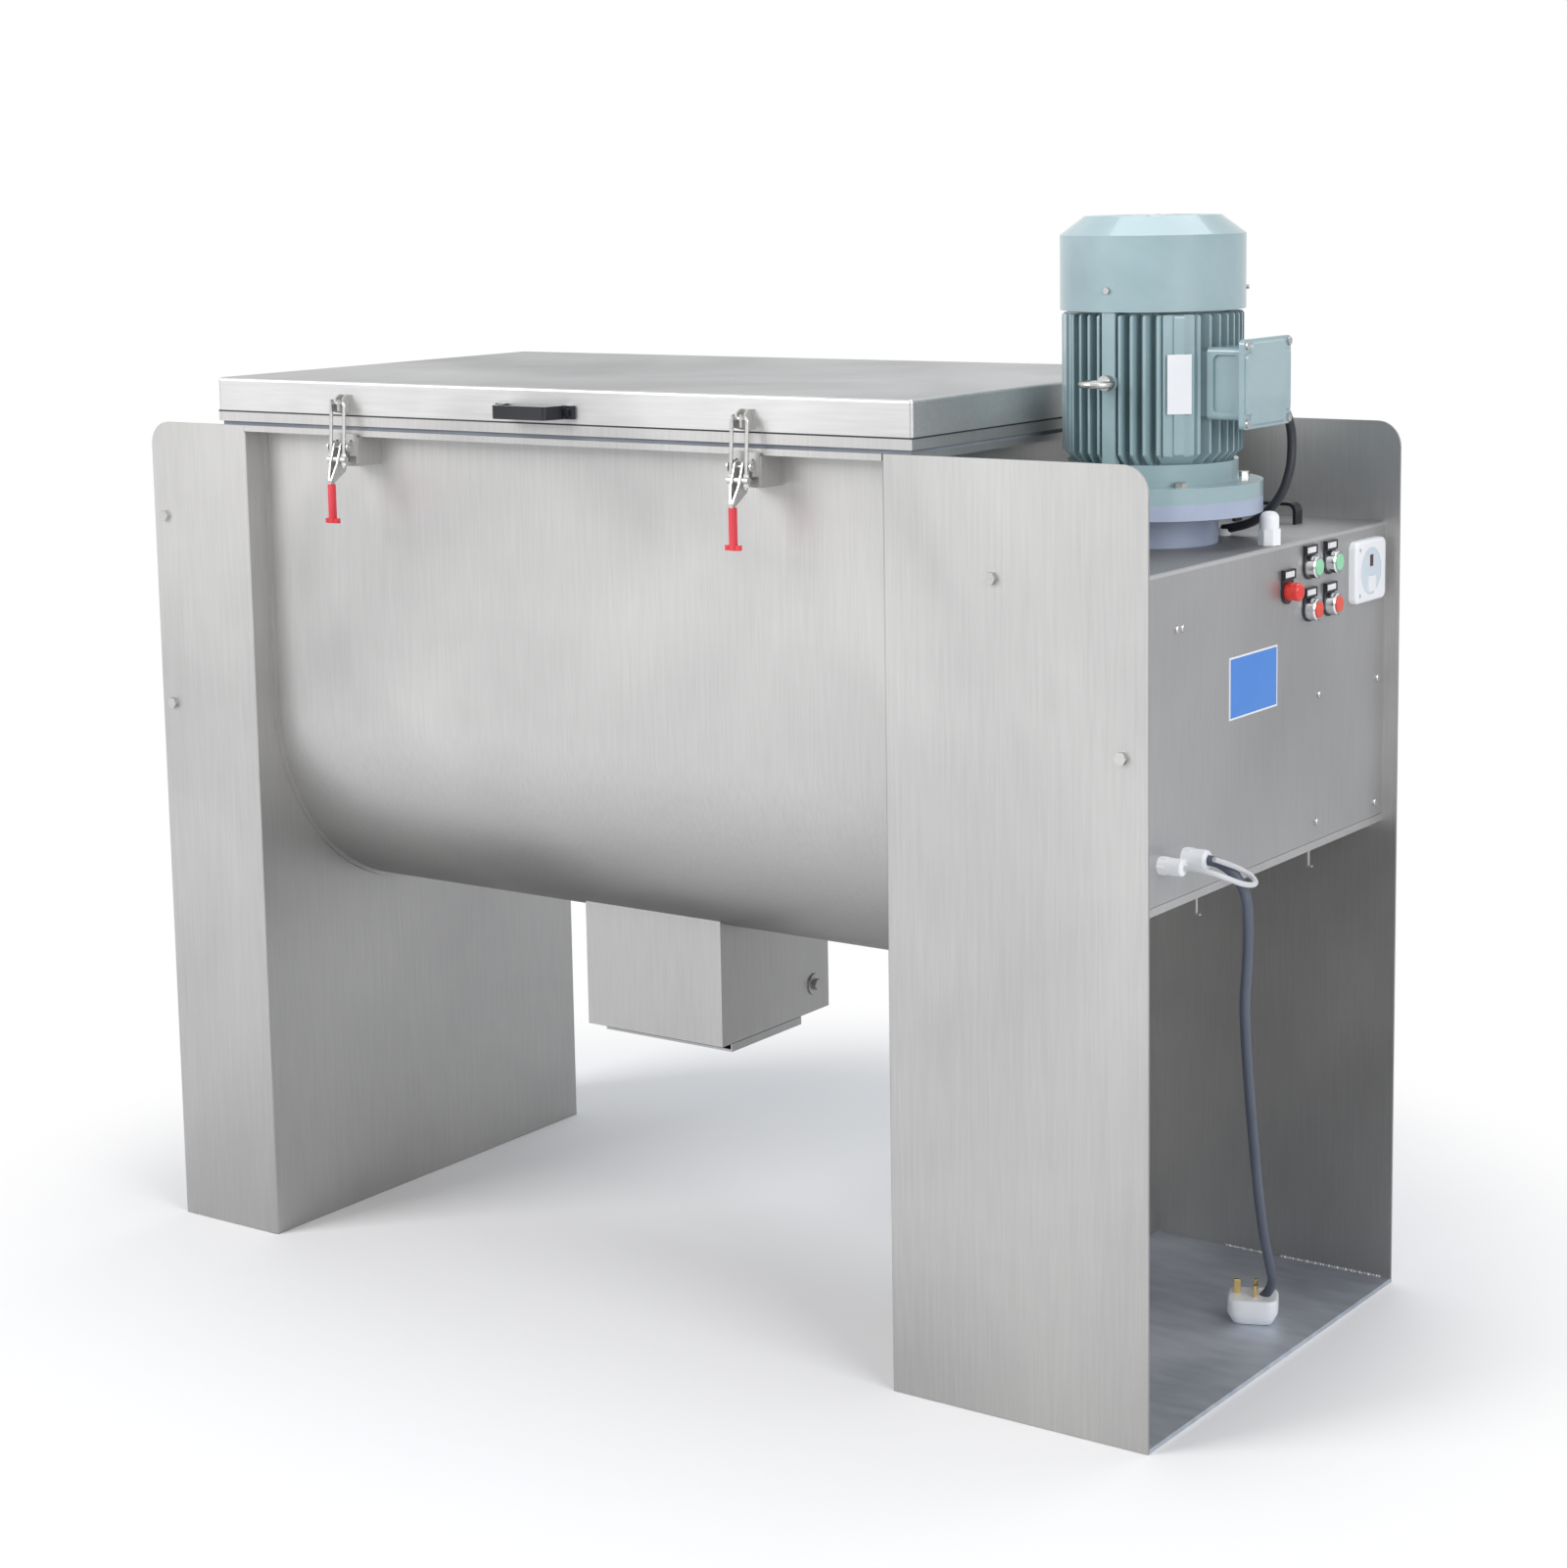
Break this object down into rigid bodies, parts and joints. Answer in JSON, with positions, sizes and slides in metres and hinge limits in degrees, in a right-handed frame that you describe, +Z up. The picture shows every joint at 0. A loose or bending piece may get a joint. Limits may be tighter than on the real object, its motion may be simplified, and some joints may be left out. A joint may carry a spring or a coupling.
{
  "type": "ribbon blender",
  "caption": "Horizontal ribbon blender: half-round trough on sheet stands, double helical ribbon agitator, upright geared motor, latched hinged lid, swing gate outlet",
  "frame": {"origin": "on the floor, in the middle of the machine's length and depth", "axes": "+X runs along the trough towards the motor, +Y to the back where the lid's hinges are, +Z up"},
  "size_m": [1.5431, 0.668, 1.321],
  "materials": {
    "brushed_sheet": "brushed stainless sheet",
    "housing_sheet": "brushed stainless sheet, a little darker",
    "inner_steel": "polished stainless bar and strip",
    "plain_steel": "plain dull steel",
    "zinc_fasteners": "bright zinc",
    "bearing_iron": "painted cast iron",
    "motor_paint": "grey-green paint",
    "reducer_paint": "blue-grey paint",
    "gasket_rubber": "matte rubber",
    "seal_rubber": "matte rubber",
    "grip_red": "glossy red sleeve",
    "cap_green": "pale green",
    "cap_red": "orange-red",
    "lens_red": "clear red lens",
    "black_plastic": "black",
    "white_plastic": "white",
    "blue_plate": "blue plate",
    "bezel_chrome": "chrome",
    "mains_sheath": "slate grey sheath",
    "signal_sheath": "pale grey sheath",
    "motor_sheath": "near black sheath"
  },
  "bodies": {
    "frame": {"left_stand": "brushed_sheet", "right_stand": "brushed_sheet", "base_plates": "plain_steel", "trough_shell": "brushed_sheet", "trough_rim": "brushed_sheet", "rim_gasket": "gasket_rubber", "shaft_seals": "seal_rubber", "bearing_housings": "bearing_iron", "bearing_rings": "plain_steel", "left_cover": "housing_sheet", "steel_bolts": "zinc_fasteners", "latch_brackets": "brushed_sheet", "latch_bases": "zinc_fasteners", "frame_hinge_leaves": "zinc_fasteners", "discharge_chute": "brushed_sheet", "housing_cover": "housing_sheet", "motor_plate": "plain_steel", "housing_tray": "housing_sheet", "gearbox_housing": "reducer_paint", "motor_flange": "motor_paint", "motor_frame": "motor_paint", "fan_cowl": "motor_paint", "terminal_box": "motor_paint", "terminal_cover": "motor_paint", "motor_bolts": "zinc_fasteners", "top_handle": "black_plastic", "blank_plate": "blue_plate", "pilot_lamp": "lens_red", "button_bezels": "bezel_chrome", "legend_holders": "black_plastic", "timer_box": "white_plastic", "cable_glands": "white_plastic", "mains_cord": "mains_sheath", "mains_plug": "white_plastic", "signal_cord": "signal_sheath", "motor_cable": "motor_sheath"},
    "agitator": {"ribbon_shaft": "inner_steel", "ribbon_spokes": "inner_steel", "outer_ribbons": "inner_steel", "inner_ribbons": "inner_steel"},
    "rotor": {"rotor_shaft": "plain_steel", "cooling_fan": "black_plastic"},
    "lid": {"lid_pan": "brushed_sheet", "lid_frame": "brushed_sheet", "lid_handle": "black_plastic", "lid_catches": "zinc_fasteners", "lid_hinge_leaves": "zinc_fasteners"},
    "left_lever": {"left_latch_lever": "zinc_fasteners", "left_latch_grip": "grip_red"},
    "left_hook": {"left_latch_hook": "zinc_fasteners"},
    "right_lever": {"right_latch_lever": "zinc_fasteners", "right_latch_grip": "grip_red"},
    "right_hook": {"right_latch_hook": "zinc_fasteners"},
    "gate": {"discharge_gate": "brushed_sheet"},
    "start_cap_1": {"start_button_1": "cap_green"},
    "start_cap_2": {"start_button_2": "cap_green"},
    "stop_cap_1": {"stop_button_1": "cap_red"},
    "stop_cap_2": {"stop_button_2": "cap_red"},
    "timer_paddle": {"timer_key": "white_plastic"}
  },
  "joints": [
    {"name": "agitator_spin", "type": "hinge", "parent": "frame", "child": "agitator", "pos_m": [-0.08, 0.02, 0.708], "axis": [1, 0, 0], "continuous": true},
    {"name": "rotor_spin", "type": "hinge", "parent": "frame", "child": "rotor", "pos_m": [0.57, 0.02, 1.1], "axis": [0, 0, 1], "continuous": true},
    {"name": "lid_hinge", "type": "hinge", "parent": "frame", "child": "lid", "pos_m": [-0.0815, 0.323, 1.082], "axis": [-1, 0, 0], "range_deg": [0, 95]},
    {"name": "left_latch_lever", "type": "hinge", "parent": "frame", "child": "left_lever", "pos_m": [-0.3865, -0.307, 1.05], "axis": [-1, 0, 0], "range_deg": [0, 105]},
    {"name": "left_latch_hook", "type": "hinge", "parent": "left_lever", "child": "left_hook", "pos_m": [-0.3865, -0.3125, 1.035], "axis": [-1, 0, 0], "range_deg": [-120, 0]},
    {"name": "right_latch_lever", "type": "hinge", "parent": "frame", "child": "right_lever", "pos_m": [0.2265, -0.307, 1.05], "axis": [-1, 0, 0], "range_deg": [0, 105]},
    {"name": "right_latch_hook", "type": "hinge", "parent": "right_lever", "child": "right_hook", "pos_m": [0.2265, -0.3125, 1.035], "axis": [-1, 0, 0], "range_deg": [-120, 0]},
    {"name": "gate_hinge", "type": "hinge", "parent": "frame", "child": "gate", "pos_m": [-0.08, 0.104, 0.333], "axis": [1, 0, 0], "range_deg": [0, 75]},
    {"name": "start_cap_1_press", "type": "slide", "parent": "frame", "child": "start_cap_1", "axis": [-1, 0, 0], "range_m": [0, 0.003], "stiffness_N_per_m": 500},
    {"name": "start_cap_2_press", "type": "slide", "parent": "frame", "child": "start_cap_2", "axis": [-1, 0, 0], "range_m": [0, 0.003], "stiffness_N_per_m": 500},
    {"name": "stop_cap_1_press", "type": "slide", "parent": "frame", "child": "stop_cap_1", "axis": [-1, 0, 0], "range_m": [0, 0.003], "stiffness_N_per_m": 500},
    {"name": "stop_cap_2_press", "type": "slide", "parent": "frame", "child": "stop_cap_2", "axis": [-1, 0, 0], "range_m": [0, 0.003], "stiffness_N_per_m": 500},
    {"name": "timer_paddle_press", "type": "slide", "parent": "frame", "child": "timer_paddle", "axis": [-1, 0, 0], "range_m": [0, 0.0015], "stiffness_N_per_m": 500}
  ],
  "couplings": [
    {"joint": "rotor_spin", "follows": "agitator_spin", "ratio": 30},
    {"joint": "left_latch_lever", "follows": "lid_hinge", "ratio": 1.1053},
    {"joint": "left_latch_hook", "follows": "lid_hinge", "ratio": -1.2632},
    {"joint": "right_latch_lever", "follows": "lid_hinge", "ratio": 1.1053},
    {"joint": "right_latch_hook", "follows": "lid_hinge", "ratio": -1.2632}
  ]
}
